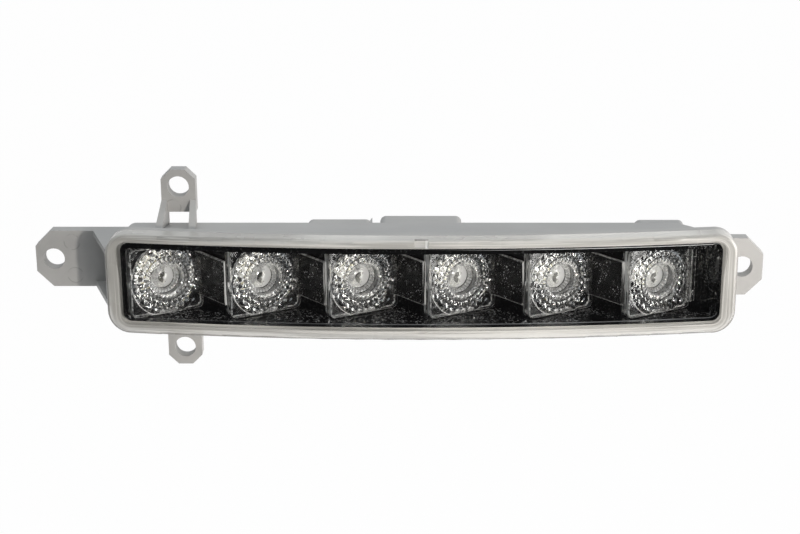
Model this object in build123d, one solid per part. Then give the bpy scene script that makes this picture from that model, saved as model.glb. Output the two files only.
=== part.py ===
from build123d import *
from math import cos, radians, sin, sqrt
import os

# Daytime running light, in millimetres.
# It is laid out from the middle of the lens: X to the lamp's right, Y to the back, Z up.
# At the end it is moved so that the origin is at the outboard bracket hole.

# Optic tiles: six clear squares in a row, each turned to one side
tile_count = 6
tile_pitch = 31.75
tile_width = 24.6
tile_height = 22.8
tile_thickness = 4.3
tile_corner = 1.8
tile_tilt = 30.0
row_shift = -2.4
row_height = -1.54

# Front of a tile: two steps down to a well with a dome in it
ring_radius = 7.5
ring_depth = 0.9
well_radius = 5.3
well_depth = 2.7
dome_radius = 3.7
dome_depth = 4.0
dome_rise = 1.3

# Back of a tile: a bulged cone down to the light source
cone_margin = 0.5
cone_bulge = 0.9
cone_end_radius = 4.2
cone_depth = 14.2
pocket_radius = 2.7
pocket_depth = 3.2

# Webs between the tiles, and the strip that widens the last tile
web_height = 14.7
web_thickness = 1.3
web_setback = 0.4
end_strip = 1.9

# Outer lens
lens_radius = 660.0
lens_wall = 2.5
lens_corner = 7.2
lens_edge = 1.4
rim_width = 4.75
rim_height = 3.55
window_margin = 3.1
window_corner = 2.7
foot_depth = 6.0
weld_gap = 0.1
optic_gap = 1.24
gate_width = 4.4
gate_depth = 0.9
vestige_height = 2.0
vestige_depth = 0.3

# Bezel
bezel_wall = 0.8
bezel_clearance = 0.2
bezel_frame = 1.0
bead_height = 0.5
bead_depth = 0.6
bead_drop = 0.85
tray_gap = 0.34
optic_clearance = 0.2
cone_clearance = 0.3

# Light sources on their strip and heat sink
led_size = 3.0
led_height = 0.8
phosphor_size = 2.3
phosphor_height = 0.2
led_clearance = 0.5
strip_height = 6.4
strip_thickness = 0.3
sink_height = 18.0
sink_thickness = 1.5
flat_width = 11.0
valley_width = 6.5
tail_width = 5.0
tail_gap = 0.3
sink_screw_tiles = (0, 4)
sink_screw_drop = 6.3
sink_screw_radius = 1.4
sink_screw_head_radius = 2.6
sink_screw_head_height = 1.8
sink_screw_length = 7.0
screw_clearance = 0.05
screw_pass = 0.3
sink_boss_radius = 3.2
sink_boss_height = 2.1
sink_boss_end = 1.2

# Housing shell
housing_wall = 1.5
body_corner = 3.2
flange_thickness = 3.0
flange_step = 0.2
side_inset = 2.6
right_taper = 0.476
back_drop = 0.7
roof_rise = 1.05

# Rear bays: left edge, right edge and depth
left_bay = (-37.7, -16.5, 3.8)
driver_bay = (-13.8, 13.3, 7.8)
right_bay = (70.6, 87.0, 3.2)
bay_floor = 13.0
bay_corner = 2.0
fin_width = 1.4
fin_reach = 5.6

# Fixing tabs
tab_thickness = 4.6
tab_proud = 0.8
tab_hole_radius = 3.5
side_tab_corner = 5.3
left_tab_half_height = 9.6
left_tab_reach = 27.3
left_hole_reach = 21.4
right_tab_half_height = 9.65
right_tab_reach = 11.2
right_hole_reach = 4.5
right_tab_forward = 8.5
post_tab_x = -79.4
post_tab_width = 11.2
post_tab_corner = 3.2
upper_tab_top = 30.3
upper_tab_foot = 16.1
upper_hole_height = 24.6
lower_tab_end = -37.2
lower_hole_height = -31.1
gusset_thickness = 1.8
gusset_reach = 8.0
gusset_lap = 0.8
post_rib_thickness = 1.9
post_rib_foot_thickness = 2.5
post_rib_height = 20.2
post_rib_slope = 1.6
post_rib_splay = 4.0

# Connector shroud on the driver bay
shroud_width = 20.0
shroud_height = 13.0
shroud_corner = 3.0
shroud_wall = 1.6
shroud_length = 16.0
shroud_drop = 2.0
latch_width = 6.0
latch_rise = 1.4
latch_length = 4.0
latch_setback = 3.5
pin_pitch = 5.0
pin_width = 1.2
pin_thickness = 0.8
pin_reach = 8.0
pin_stub = 1.0
pin_clearance = 0.05

# Driver board and its parts, placed from the board's centre
board_gap = 0.75
board_thickness = 1.6
board_standoff = 1.4
board_screw_offset = (8.2, 6.7)
board_screw_radius = 1.1
board_screw_head_radius = 1.9
board_screw_head_height = 1.3
board_screw_length = 4.2
board_boss_radius = 2.3
chip_size = (5.0, 1.5, 4.0)
chip_place = (-4.6, 4.2)
choke_size = (5.0, 3.0, 5.0)
choke_place = (-3.4, -5.4)
diode_size = (2.6, 2.1, 4.2)
diode_place = (-8.2, -1.0)
resistor_size = (5.0, 0.6, 2.2)
resistor_places = ((2.4, 5.6), (2.4, 2.8))
capacitor_radius = 3.0
capacitor_height = 5.0
capacitor_place = (5.4, -4.9)

# Breather on the back wall
breather_x = 34.0
breather_radius = 5.0
breather_thickness = 0.5
breather_clearance = 0.2
breather_ring_wall = 1.2
breather_ring_height = 1.6
breather_hole_radius = 1.2

# Sizes that follow from the ones above
tilt_cos = cos(radians(tile_tilt))
tilt_sin = sin(radians(tile_tilt))
window_width = tile_count * tile_pitch
window_height = tile_height + window_margin
lens_width = window_width + 2 * rim_width
lens_height = window_height + 2 * rim_height
first_tile_x = (tile_pitch - window_width) / 2 + row_shift


def sag(x):
    """How far the lens has curved back at a distance x from its middle."""
    return lens_radius - sqrt(lens_radius**2 - x**2)


first_corner_x = first_tile_x - tile_width / 2 * tilt_cos
row_y = sag(first_corner_x) + lens_wall + optic_gap + tile_width / 2 * tilt_sin
strip_depth = cone_depth + led_clearance
strip_run = strip_thickness / tilt_cos
sink_run = sink_thickness / tilt_cos
valley_y = row_y + flat_width / 2 * tilt_sin + strip_depth * tilt_cos
sink_front_y = valley_y + strip_run
sink_back_y = sink_front_y + sink_run
back_y = sink_back_y + sink_boss_height + housing_wall
tab_front_y = back_y + tab_proud - tab_thickness
tray_roof = row_height + tile_height / 2 + tray_gap
tray_floor = row_height - tile_height / 2 - tray_gap
body_left = -lens_width / 2 + side_inset
body_top_front = lens_height / 2 - flange_step
body_top_back = tray_roof + roof_rise
body_bottom_front = -lens_height / 2 + flange_step
body_bottom_back = body_bottom_front + back_drop
body_right_back = right_bay[1]
body_right_front = body_right_back + right_taper * back_y
cone_radius = tile_height / 2 - cone_margin
board_back_y = back_y + driver_bay[2] - housing_wall - board_standoff
board_front_y = board_back_y - board_thickness
board_x = (driver_bay[0] + driver_bay[1]) / 2
board_width = driver_bay[1] - driver_bay[0] - 2 * (housing_wall + board_gap)
board_top = body_top_back - housing_wall - board_gap
board_bottom = housing_wall + board_gap - bay_floor
board_z = (board_top + board_bottom) / 2
socket_y = back_y + driver_bay[2]
far = 4 * lens_height


def lens_arc(depth):
    """Everything that lies behind the lens's outer face by at least this depth."""
    return Pos(0, lens_radius, 0) * Cylinder(lens_radius - depth, far)


def front_slab(sketch, y_front, y_back):
    """A front-view sketch given a depth between two Y planes."""
    return extrude(Plane.XZ.offset(-y_front) * sketch, y_back - y_front, dir=(0, 1, 0))


def plan_prism(points, z_low, z_high):
    """A plan-view outline given a height between two Z planes."""
    return extrude(Pos(0, 0, z_low) * make_face(Polyline(*points, close=True)), z_high - z_low)


def side_prism(points, x_low, x_high):
    """A side-view outline of (y, z) points given a width between two X planes."""
    return extrude(Plane.YZ.offset(x_low) * make_face(Polyline(*points, close=True)), x_high - x_low)


def span(x_low, x_high, z_low, z_high, corner=0.0):
    """A front-view rectangle between its edges, with rounded corners if asked."""
    width = x_high - x_low
    height = z_high - z_low
    shape = RectangleRounded(width, height, corner) if corner else Rectangle(width, height)
    return Pos((x_low + x_high) / 2, (z_low + z_high) / 2) * shape


def rod(x, z, radius, y_front, y_back):
    """A round bar along Y."""
    return front_slab(Pos(x, z) * Circle(radius), y_front, y_back)


def tile_x(number):
    return first_tile_x + number * tile_pitch


def tile_plane(number):
    """The front face of a tile, facing out, with its width along the plane's X."""
    return Plane((tile_x(number), row_y, row_height), (tilt_cos, tilt_sin, 0), (tilt_sin, -tilt_cos, 0))


def tile_point(number, along, depth):
    """Plan position of a point on a tile: along its width, and behind its face."""
    x = tile_x(number) + along * tilt_cos - depth * tilt_sin
    y = row_y + along * tilt_sin + depth * tilt_cos
    return (x, y)


def moved_back(points, distance):
    return [(x, y + distance) for x, y in points]


def turned(profile):
    """A closed outline of (radius, height) edges turned about the tile's axis."""
    return revolve(Plane.XZ * make_face(profile), Axis.Z)


def optic_tile():
    """One tile in its own plane: plate, cone, stepped well with a dome, and source pocket."""
    outline = Rectangle(tile_width, tile_height)
    outline = fillet(outline.vertices(), tile_corner)
    plate = extrude(Pos(0, 0, -tile_thickness) * outline, tile_thickness)
    middle = (cone_radius + cone_end_radius) / 2 + 2 * cone_bulge
    half_way = -(tile_thickness + cone_depth) / 2
    root = -tile_thickness / 2
    cone = turned(
        [
            Polyline((0, -cone_depth), (0, root), (cone_radius, root), (cone_radius, -tile_thickness)),
            Bezier((cone_radius, -tile_thickness), (middle, half_way), (cone_end_radius, -cone_depth)),
            Line((cone_end_radius, -cone_depth), (0, -cone_depth)),
        ]
    )
    well = turned(
        [
            Polyline(
                (0, dome_rise - dome_depth),
                (0, tile_thickness),
                (ring_radius, tile_thickness),
                (ring_radius, -ring_depth),
                (well_radius, -ring_depth),
                (well_radius, -well_depth),
                (dome_radius, -dome_depth),
            ),
            RadiusArc((dome_radius, -dome_depth), (0, dome_rise - dome_depth), -dome_arc()),
        ]
    )
    pocket = Pos(0, 0, -cone_depth) * Cylinder(pocket_radius, 2 * pocket_depth)
    return plate + cone - well - pocket


def dome_arc():
    """Radius of the dome's arc over half its width."""
    return (dome_radius**2 + dome_rise**2) / (2 * dome_rise)


def back_line():
    """Plan line along the backs of the tiles and of the webs between them."""
    points = []
    for number in range(tile_count):
        points.append(tile_point(number, -tile_width / 2, tile_thickness))
        points.append(tile_point(number, tile_width / 2, tile_thickness))
    points[-1] = tile_point(tile_count - 1, tile_width / 2 + end_strip, tile_thickness)
    return points


def last_strip():
    """The strip along the last tile's outer edge, as tall as that edge is straight."""
    length = tile_height - 2 * tile_corner
    strip = Pos(tile_width / 2, 0, -tile_thickness / 2) * Box(2 * end_strip, length, tile_thickness)
    return tile_plane(tile_count - 1) * strip


def collimator_bar():
    tile = optic_tile()
    bar = tile_plane(0) * tile
    half = tile_width / 2
    depth = tile_thickness - web_setback
    for number in range(1, tile_count):
        bar += tile_plane(number) * tile
        start = tile_point(number - 1, half, depth)
        end = tile_point(number, -half, depth)
        root = tile_point(number, web_thickness - half, depth - web_thickness)
        run = sqrt((end[0] - start[0]) ** 2 + (end[1] - start[1]) ** 2)
        rise = web_thickness * run / (end[0] - start[0])
        outline = [start, end, root] + moved_back([end, start], -rise)
        bar += plan_prism(outline, row_height - web_height / 2, row_height + web_height / 2)
    return bar + last_strip()


def outer_lens():
    outline = RectangleRounded(lens_width, lens_height, lens_corner)
    window = RectangleRounded(window_width, window_height, window_corner)
    lens = front_slab(outline, -far, far) & lens_arc(0)
    lens -= lens_arc(foot_depth)
    front = lens.faces().sort_by(Axis.Y)[0]
    lens = fillet(front.edges(), lens_edge)
    lens -= front_slab(window, -far, far) & lens_arc(lens_wall)
    land = window_height / 2
    gate = span(-gate_width / 2, gate_width / 2, land + rim_height / 4, land + 2 * rim_height)
    lens -= front_slab(gate, -far, gate_depth)
    vestige = Pos(0, -land) * Ellipse(gate_width / 2, vestige_height / 2)
    return lens - front_slab(vestige, -far, vestige_depth)


def body(inset, y_end):
    """The housing's tapered body cut off at y_end, or the square-cornered room in it when inset."""
    left = body_left + inset
    corner = 0 if inset else body_corner
    front = span(left, body_right_front - inset, body_bottom_front + inset, body_top_front - inset, corner)
    back = span(left, body_right_back - inset, body_bottom_back + inset, body_top_back - inset, corner)
    whole = loft([Plane.XZ * front, Plane.XZ.offset(-back_y) * back], ruled=True)
    return whole & front_slab(Rectangle(2 * lens_width, far), -far, y_end)


def bay(edges, inset):
    """A box-shaped bay on the back wall, or the hollow in it when inset by the wall."""
    x_low, x_high, depth = edges
    corner = 0 if inset else bay_corner
    outline = span(x_low + inset, x_high - inset, inset - bay_floor, body_top_back - inset, corner)
    return front_slab(outline, back_y - 2 * housing_wall, back_y + depth - inset)


def side_tab(x_root, x_end, half_height, y_front):
    """A flat tab out of the end of the housing, with its two outer corners cut."""
    outline = span(min(x_root, x_end), max(x_root, x_end), -half_height, half_height)
    outer = outline.vertices().sort_by(Axis.X)[:2] if x_end < x_root else outline.vertices().sort_by(Axis.X)[2:]
    return front_slab(chamfer(outer, side_tab_corner), y_front, y_front + tab_thickness)


def post_tab(z_root, z_end):
    """A narrow tab above or below the housing, with its two outer corners cut."""
    half = post_tab_width / 2
    outline = span(post_tab_x - half, post_tab_x + half, min(z_root, z_end), max(z_root, z_end))
    outer = outline.vertices().sort_by(Axis.Y)[2:] if z_end > z_root else outline.vertices().sort_by(Axis.Y)[:2]
    return front_slab(chamfer(outer, post_tab_corner), tab_front_y, tab_front_y + tab_thickness)


def post_ribs(z_high, z_foot):
    """Two spread, sloping ribs that carry a narrow tab from the housing's top or bottom wall."""
    reach = abs(z_high - z_foot) * post_rib_slope
    root = tab_thickness / 2
    half = post_rib_thickness / 2
    foot_half = post_rib_foot_thickness / 2
    slope = side_prism([(root, z_high), (0, z_high), (-reach, z_foot), (root, z_foot)], -foot_half, foot_half)
    taper = [(-half, root), (-half, 0), (-foot_half, -reach), (foot_half, -reach), (half, 0), (half, root)]
    rib = slope & plan_prism(taper, min(z_high, z_foot), max(z_high, z_foot))
    offset = post_tab_width / 2 - half
    left = Pos(post_tab_x - offset, tab_front_y, 0) * Rot(0, 0, -post_rib_splay) * rib
    right = Pos(post_tab_x + offset, tab_front_y, 0) * Rot(0, 0, post_rib_splay) * rib
    return left + right


def tabs():
    """The four fixing tabs with their gussets and ribs."""
    root = housing_wall / 2
    left_end = -lens_width / 2 - left_tab_reach
    shape = side_tab(body_left + root, left_end, left_tab_half_height, tab_front_y)
    right_y = tab_front_y - right_tab_forward
    right_root = body_right_front - right_taper * (right_y + tab_thickness) - root
    shape += side_tab(right_root, lens_width / 2 + right_tab_reach, right_tab_half_height, right_y)
    shape += post_tab(upper_tab_foot, upper_tab_top)
    shape += post_tab(body_bottom_back + root, lower_tab_end)
    shape += post_ribs(post_rib_height, body_top_back - root)
    shape += post_ribs(-post_rib_height - root, body_bottom_back + root)
    flange_y = sag(lens_width / 2) + foot_depth + weld_gap
    gusset = [
        (body_left + root, tab_front_y + root),
        (-lens_width / 2 - gusset_reach, tab_front_y + root),
        (-lens_width / 2 - gusset_reach, tab_front_y),
        (-lens_width / 2 - gusset_lap, flange_y),
        (body_left + root, flange_y),
    ]
    for side in (-1, 1):
        edge = side * left_tab_half_height
        inner = edge - side * gusset_thickness
        shape += plan_prism(gusset, min(edge, inner), max(edge, inner))
    return shape


def tab_holes():
    """Centres of the four tab holes: x, front face y, z."""
    right_y = tab_front_y - right_tab_forward
    return [
        (-lens_width / 2 - left_hole_reach, tab_front_y, 0),
        (post_tab_x, tab_front_y, upper_hole_height),
        (post_tab_x, tab_front_y, lower_hole_height),
        (lens_width / 2 + right_hole_reach, right_y, 0),
    ]


def connector_shroud():
    """Rounded sleeve for a plug, with a latch wedge on its top."""
    height = shroud_height / 2
    sleeve = Pos(board_x, -shroud_drop) * RectangleRounded(shroud_width, shroud_height, shroud_corner)
    shape = front_slab(sleeve, socket_y - housing_wall, socket_y + shroud_length)
    top = height - shroud_drop
    end = socket_y + shroud_length - latch_setback
    start = end - latch_length
    wedge = [(start, top - shroud_wall / 2), (start, top + latch_rise), (end, top), (end, top - shroud_wall / 2)]
    return shape + side_prism(wedge, board_x - latch_width / 2, board_x + latch_width / 2)


def socket():
    """The hollow of the connector shroud."""
    width = shroud_width - 2 * shroud_wall
    height = shroud_height - 2 * shroud_wall
    hollow = RectangleRounded(width, height, shroud_corner - shroud_wall / 2)
    return front_slab(Pos(board_x, -shroud_drop) * hollow, socket_y, socket_y + 2 * shroud_length)


def pin_places():
    return [(board_x - pin_pitch / 2, -shroud_drop), (board_x + pin_pitch / 2, -shroud_drop)]


def pins(clearance=0.0, y_front=None):
    """The connector's blades, or the slots that they pass through."""
    start = board_front_y - pin_stub if y_front is None else y_front
    blade = Rectangle(pin_width + 2 * clearance, pin_thickness + 2 * clearance)
    places = pin_places()
    shape = front_slab(Pos(*places[0]) * blade, start, socket_y + pin_reach)
    for place in places[1:]:
        shape += front_slab(Pos(*place) * blade, start, socket_y + pin_reach)
    return shape


def sink_screw_places():
    """Front-view centres of the heat sink's screws, in the flats between the tiles."""
    places = []
    for number in sink_screw_tiles:
        flat_end = tile_point(number, flat_width / 2, strip_depth)
        places.append((flat_end[0] + valley_width / 2, row_height - sink_screw_drop))
    return places


def board_screw_places():
    across, up = board_screw_offset
    return [(board_x - across, board_z - up), (board_x + across, board_z + up)]


def housing():
    outline = RectangleRounded(lens_width, lens_height, lens_corner)
    seat = foot_depth + weld_gap
    shell = body(0, back_y) & lens_arc(seat)
    shell += (front_slab(outline, -far, back_y) & lens_arc(seat)) - lens_arc(seat + flange_thickness)
    for edges in (left_bay, driver_bay, right_bay):
        shell += bay(edges, 0)
    fin_edge = left_bay[1]
    fin_root = back_y + left_bay[2] - housing_wall
    fin = [(fin_edge - fin_width, fin_root), (fin_edge, fin_root), (fin_edge, back_y + left_bay[2] + fin_reach)]
    shell += plan_prism(fin, bay_corner - bay_floor, body_top_back - bay_corner / 2)
    shell += connector_shroud()
    shell += tabs()
    ring = breather_radius + breather_clearance
    shell += rod(breather_x, row_height, ring + breather_ring_wall, back_y - housing_wall, back_y + breather_ring_height)
    for x, z in sink_screw_places():
        shell += rod(x, z, sink_boss_radius, back_y - housing_wall, sink_back_y + sink_screw_length + sink_boss_end)
    shell -= body(housing_wall, back_y - housing_wall)
    for edges in (left_bay, driver_bay, right_bay):
        shell -= bay(edges, housing_wall)
    for x, z in sink_screw_places():
        shell += rod(x, z, sink_boss_radius, sink_back_y, back_y - housing_wall / 2)
        shell -= rod(x, z, sink_screw_radius + screw_clearance, sink_back_y - far, sink_back_y + sink_screw_length)
    for x, z in board_screw_places():
        shell += rod(x, z, board_boss_radius, board_back_y, socket_y - housing_wall / 2)
        hole_end = board_front_y + board_screw_length
        shell -= rod(x, z, board_screw_radius + screw_clearance, board_back_y - far, hole_end)
    shell -= socket()
    shell -= pins(pin_clearance, board_back_y)
    shell -= rod(breather_x, row_height, ring, back_y, back_y + far)
    shell -= rod(breather_x, row_height, breather_hole_radius, back_y - 2 * housing_wall, back_y)
    for x, y, z in tab_holes():
        shell -= rod(x, z, tab_hole_radius, y - tab_thickness, y + 2 * tab_thickness)
    return shell


def tray_outline(line, x_left, x_right):
    """Plan outline of the tray: open at the front, along the given line at the back."""
    lift = optic_clearance / tilt_cos
    right_y = sag(x_right) + foot_depth + bezel_clearance + 2 * bezel_frame
    points = [(x_left, -lens_height), (x_left, line[0][1] + lift)]
    points += moved_back(line, lift)
    return points + [(x_right, right_y), (x_right, -lens_height)]


def bezel():
    room = body(housing_wall + bezel_clearance, back_y)
    front = foot_depth + bezel_clearance
    left = body_left + housing_wall + bezel_clearance
    right = window_width / 2 + bezel_wall
    line = back_line()
    back = moved_back(line, bezel_wall / tilt_cos)
    tray = plan_prism(tray_outline(back, left, right), tray_floor - bezel_wall, tray_roof + bezel_wall)
    hollow = plan_prism(tray_outline(line, left + bezel_wall, right - bezel_wall), tray_floor, tray_roof)
    frame = front_slab(Rectangle(2 * lens_width, far), -far, back_y) - lens_arc(front + bezel_frame)
    bead_half = window_width / 2 - window_corner
    bead_top = window_height / 2 - bead_drop
    bead = front_slab(span(-bead_half, bead_half, bead_top - bead_height, bead_top), -far, back_y)
    shape = (tray + frame) & room & lens_arc(front)
    shape += (bead & lens_arc(front - bead_depth)) - lens_arc(front + bezel_frame)
    shape -= hollow
    for number in range(tile_count):
        hole = Pos(0, 0, -cone_depth / 2) * Cylinder(cone_radius + cone_clearance, cone_depth)
        shape -= tile_plane(number) * hole
    return shape


def strip_line():
    """Plan line of the printed strip's front: a flat behind each tile, then a flat valley."""
    points = []
    for number in range(tile_count):
        points.append(tile_point(number, -flat_width / 2, strip_depth))
        end = tile_point(number, flat_width / 2, strip_depth)
        points += [end, (end[0] + valley_width, end[1])]
    return points


def band(points, distance, z_low, z_high):
    """A folded strip: the line given a thickness towards the back and a height."""
    outline = points + list(reversed(moved_back(points, distance)))
    return plan_prism(outline, z_low, z_high)


def tail_room():
    """The slice of the strip that its tail rises from, in front of the driver board."""
    x = board_x + tail_width
    return x - tail_width / 2, x + tail_width / 2


def flex_circuit():
    line = strip_line()
    half = strip_height / 2
    strip = band(line, strip_run, row_height - half, row_height + half)
    x_low, x_high = tail_room()
    tail_top = row_height + sink_height / 2 + tail_gap + strip_thickness
    slice_ = front_slab(span(x_low, x_high, row_height, tail_top), -far, board_front_y)
    rise = band(line, strip_run, row_height, tail_top) & slice_
    fold = band(line, 2 * back_y, tail_top - strip_thickness, tail_top) & slice_
    return strip + rise + fold


def heat_sink():
    line = moved_back(strip_line(), strip_run)
    half = sink_height / 2
    sink = band(line, sink_run, row_height - half, row_height + half)
    for x, z in sink_screw_places():
        sink -= rod(x, z, sink_screw_radius + screw_pass, -far, far)
    return sink


def led():
    """One light source in its tile's plane, standing on the printed strip."""
    package = Pos(0, 0, led_height / 2 - strip_depth) * Box(led_size, led_size, led_height)
    top = led_height - strip_depth
    return package + extrude(Pos(0, 0, top) * Rectangle(phosphor_size, phosphor_size), phosphor_height)


def screws(places, radius, head_radius, head_height, y_seat, length):
    """Hexagon-headed screws, their heads in front of the seat and their shanks behind it."""
    shape = None
    for x, z in places:
        head = front_slab(Pos(x, z) * RegularPolygon(head_radius, 6), y_seat - head_height, y_seat)
        screw = head + rod(x, z, radius, y_seat, y_seat + length)
        shape = screw if shape is None else shape + screw
    return shape


def heat_sink_screws():
    length = sink_run + sink_screw_length - sink_boss_end
    places = sink_screw_places()
    return screws(places, sink_screw_radius, sink_screw_head_radius, sink_screw_head_height, sink_front_y, length)


def board_screws():
    length = board_screw_length - screw_pass
    places = board_screw_places()
    return screws(places, board_screw_radius, board_screw_head_radius, board_screw_head_height, board_front_y, length)


def driver_board():
    half = board_width / 2
    board = front_slab(span(board_x - half, board_x + half, board_bottom, board_top), board_front_y, board_back_y)
    for x, z in board_screw_places():
        board -= rod(x, z, board_screw_radius + screw_pass, -far, far)
    return board - pins(pin_clearance, -far)


def on_board(place, size):
    """A block on the driver board's front: width, height off the board, height along it."""
    width, height, tall = size
    outline = Pos(board_x + place[0], board_z + place[1]) * Rectangle(width, tall)
    return front_slab(outline, board_front_y - height, board_front_y)


def capacitor():
    x = board_x + capacitor_place[0]
    z = board_z + capacitor_place[1]
    return rod(x, z, capacitor_radius, board_front_y - capacitor_height, board_front_y)


def breather_membrane():
    return rod(breather_x, row_height, breather_radius, back_y, back_y + breather_thickness)


pieces = {
    "housing": housing(),
    "outer_lens": outer_lens(),
    "bezel": bezel(),
    "collimator_bar": collimator_bar(),
    "heat_sink": heat_sink(),
    "flex_circuit": flex_circuit(),
    "heat_sink_screws": heat_sink_screws(),
    "driver_board": driver_board(),
    "board_screws": board_screws(),
    "driver_chip": on_board(chip_place, chip_size),
    "choke": on_board(choke_place, choke_size),
    "diode": on_board(diode_place, diode_size),
    "resistors": on_board(resistor_places[0], resistor_size) + on_board(resistor_places[1], resistor_size),
    "capacitor": capacitor(),
    "connector_pins": pins(),
    "breather_membrane": breather_membrane(),
}
for number in range(tile_count):
    pieces[f"led_{number + 1}"] = tile_plane(number) * led()

hole_x, hole_y, hole_z = tab_holes()[0]
os.makedirs("parts", exist_ok=True)
for name, shape in pieces.items():
    export_step(Pos(-hole_x, -hole_y, -hole_z) * shape, f"parts/{name}.step")
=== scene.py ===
import math

import bmesh
import bpy
import numpy as np
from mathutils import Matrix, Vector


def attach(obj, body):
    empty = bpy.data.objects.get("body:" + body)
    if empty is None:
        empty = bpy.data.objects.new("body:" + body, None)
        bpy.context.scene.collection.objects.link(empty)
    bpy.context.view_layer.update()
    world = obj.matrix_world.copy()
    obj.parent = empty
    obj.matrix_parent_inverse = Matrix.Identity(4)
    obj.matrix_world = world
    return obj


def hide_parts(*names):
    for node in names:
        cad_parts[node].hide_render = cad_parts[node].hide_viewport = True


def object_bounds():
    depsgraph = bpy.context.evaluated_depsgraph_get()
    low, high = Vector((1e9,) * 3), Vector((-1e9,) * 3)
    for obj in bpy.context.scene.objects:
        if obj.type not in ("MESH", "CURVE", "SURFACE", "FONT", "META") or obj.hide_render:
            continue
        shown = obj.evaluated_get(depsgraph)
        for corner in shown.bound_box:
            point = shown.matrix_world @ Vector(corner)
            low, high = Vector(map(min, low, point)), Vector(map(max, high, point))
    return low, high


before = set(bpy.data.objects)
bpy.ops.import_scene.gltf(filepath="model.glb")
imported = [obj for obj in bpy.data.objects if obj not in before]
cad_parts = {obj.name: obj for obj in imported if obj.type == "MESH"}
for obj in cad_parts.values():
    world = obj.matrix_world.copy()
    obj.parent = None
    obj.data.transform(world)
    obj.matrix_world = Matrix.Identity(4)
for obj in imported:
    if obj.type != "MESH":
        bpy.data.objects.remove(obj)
cad_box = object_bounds()


# Housing: one light grey polypropylene moulding that carries everything else.
# It comes out of the tool with a fine satin grain and round ejector marks on the tabs,
# and its four tabs are screwed to the bumper.
mm = 0.001


class Wire:
    """A socket in a node tree. Arithmetic on it adds Math nodes to the tree."""

    def __init__(self, tree, socket=None):
        self.tree = tree
        self.socket = socket

    def add(self, kind, settings=None, sockets=None, out=0):
        """Adds a node: its settings first, then the values or links of its sockets."""
        node = self.tree.nodes.new(kind)
        for name, value in (settings or {}).items():
            setattr(node, name, value)
        for name, value in (sockets or {}).items():
            if isinstance(value, Wire):
                self.tree.links.new(value.socket, node.inputs[name])
            else:
                node.inputs[name].default_value = value
        return Wire(self.tree, node.outputs[out] if len(node.outputs) else None)

    def math(self, operation, *values):
        """A Math node on those values."""
        return self.add("ShaderNodeMath", {"operation": operation}, dict(enumerate(values)))

    def __add__(self, other):
        return self.math("ADD", self, other)

    def __sub__(self, other):
        return self.math("SUBTRACT", self, other)

    def __mul__(self, other):
        return self.math("MULTIPLY", self, other)

    def __truediv__(self, other):
        return self.math("DIVIDE", self, other)

    def __pow__(self, other):
        return self.math("POWER", self, other)

    def __radd__(self, other):
        return self.math("ADD", other, self)

    def __rsub__(self, other):
        return self.math("SUBTRACT", other, self)

    def __rmul__(self, other):
        return self.math("MULTIPLY", other, self)

    def __rtruediv__(self, other):
        return self.math("DIVIDE", other, self)

    def __neg__(self):
        return self.math("MULTIPLY", self, -1.0)

    def __abs__(self):
        return self.math("ABSOLUTE", self)

    def least(self, other):
        return self.math("MINIMUM", self, other)

    def most(self, other):
        return self.math("MAXIMUM", self, other)

    def above(self, limit):
        """1 where the value is greater than the limit, and 0 elsewhere."""
        return self.math("GREATER_THAN", self, limit)

    def wave(self):
        """A sine of the value, from 0 to 1."""
        return 0.5 + 0.5 * self.math("SINE", self)

    def ramp(self, low, high):
        """0 at low, 1 at high, smooth between."""
        return self.add(
            "ShaderNodeMapRange",
            {"interpolation_type": "SMOOTHSTEP"},
            {"Value": self, "From Min": low, "From Max": high},
        )

    def place(self, out="Object"):
        """Where a point lies, in the piece's own coordinates unless another kind is named."""
        return self.add("ShaderNodeTexCoord", out=out)

    def vector(self, **parts):
        """A vector of its X, Y and Z, each 0 unless given."""
        return self.add("ShaderNodeCombineXYZ", {}, parts)

    def parts(self):
        """The x, y and z of a vector."""
        cut = self.add("ShaderNodeSeparateXYZ", {}, {0: self}).socket.node
        return [Wire(self.tree, socket) for socket in cut.outputs]

    def noise(self, scale, detail=2.0, place=None):
        """Even grain of that many cells to the metre."""
        place = place or self.place()
        return self.add("ShaderNodeTexNoise", {}, {"Vector": place, "Scale": scale, "Detail": detail})

    def drawn(self, stretch, detail):
        """Grain drawn out into lines, with its own number of cells to the metre in X, Y and Z."""
        place = self.add("ShaderNodeMapping", {}, {"Vector": self.place(), "Scale": stretch})
        return self.noise(1.0, detail, place)

    def between(self, share, low, high):
        """A colour that goes from low to high by a share from 0 to 1."""
        low, high = (end if isinstance(end, Wire) else (*end, 1.0) for end in (low, high))
        return self.add("ShaderNodeMix", {"data_type": "RGBA"}, {0: share, 6: low, 7: high}, out=2)

    def bump(self, height, distance, strength):
        """A normal bent by a height from 0 to 1 over that distance in metres."""
        sockets = {"Height": height, "Distance": distance, "Strength": strength}
        return self.add("ShaderNodeBump", {}, sockets)

    def solid(self, sockets):
        """A Principled shader."""
        return self.add("ShaderNodeBsdfPrincipled", {}, sockets)

    def layer(self, share, under, over):
        """A shader that goes from one to another by a share from 0 to 1."""
        return self.add("ShaderNodeMixShader", {}, {0: share, 1: under, 2: over})

    def show(self):
        """Puts this shader on the surface."""
        self.add("ShaderNodeOutputMaterial", {}, {"Surface": self})


def new_finish(name):
    """An empty material and a wire to build its nodes from."""
    material = bpy.data.materials.new(name)
    material.use_nodes = True
    material.node_tree.nodes.clear()
    return material, Wire(material.node_tree)


def dress(node, material):
    """Gives a carried-over node its finish."""
    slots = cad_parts[node].data.materials
    slots.clear()
    slots.append(material)


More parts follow.
